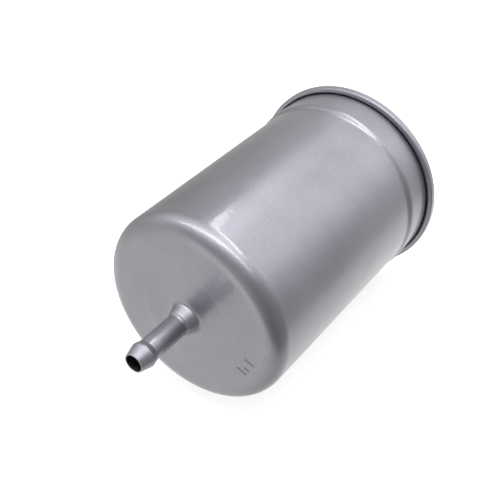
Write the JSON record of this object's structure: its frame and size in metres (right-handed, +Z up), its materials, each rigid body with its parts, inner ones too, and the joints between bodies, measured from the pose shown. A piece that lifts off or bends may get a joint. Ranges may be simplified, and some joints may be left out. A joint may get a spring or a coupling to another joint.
{
  "type": "in-line fuel filter",
  "caption": "In-line canister fuel filter: domed steel can with a double-seamed cover, a beaded hose stub at each end and a spring-loaded pleated paper element inside.",
  "frame": {"origin": "on the filter's axis, half way along the can's straight wall, at the middle of the seat for a clamp band", "axes": "X along the filter, inlet stub towards -X and outlet stub towards +X; +Z up as it lies across an engine bay; round about X"},
  "size_m": [0.1523, 0.0766, 0.0766],
  "materials": {
    "silver_paint": "glossy metallic silver",
    "seam_compound": "dull",
    "plated_steel": "tin plate",
    "spring_steel": "drawn wire",
    "plastisol": "cured adhesive",
    "filter_paper": "resin-treated",
    "nylon_band": "natural",
    "seal_rubber": "moulded"
  },
  "bodies": {
    "housing": {"can_shell": "silver_paint", "end_cover": "silver_paint", "seam_sealant": "seam_compound", "inlet_stub": "silver_paint", "inlet_braze_ring": "silver_paint", "outlet_stub": "silver_paint", "outlet_braze_ring": "silver_paint", "spring_seat": "plated_steel", "coil_spring": "spring_steel"},
    "element": {"centring_spider": "spring_steel", "inlet_end_cap": "plated_steel", "inlet_potting": "plastisol", "pleated_media": "filter_paper", "media_seam_clip": "plated_steel", "pleat_band": "nylon_band", "centre_tube": "plated_steel", "core_screen": "spring_steel", "outlet_potting": "plastisol", "outlet_end_cap": "plated_steel", "outlet_grommet": "seal_rubber"}
  },
  "joints": [
    {"name": "element_lift", "type": "slide", "parent": "housing", "child": "element", "axis": [-1, 0, 0], "range_m": [0, 0.002], "stiffness_N_per_m": 3000, "springref_m": -0.005, "deforming": ["coil_spring"]}
  ]
}
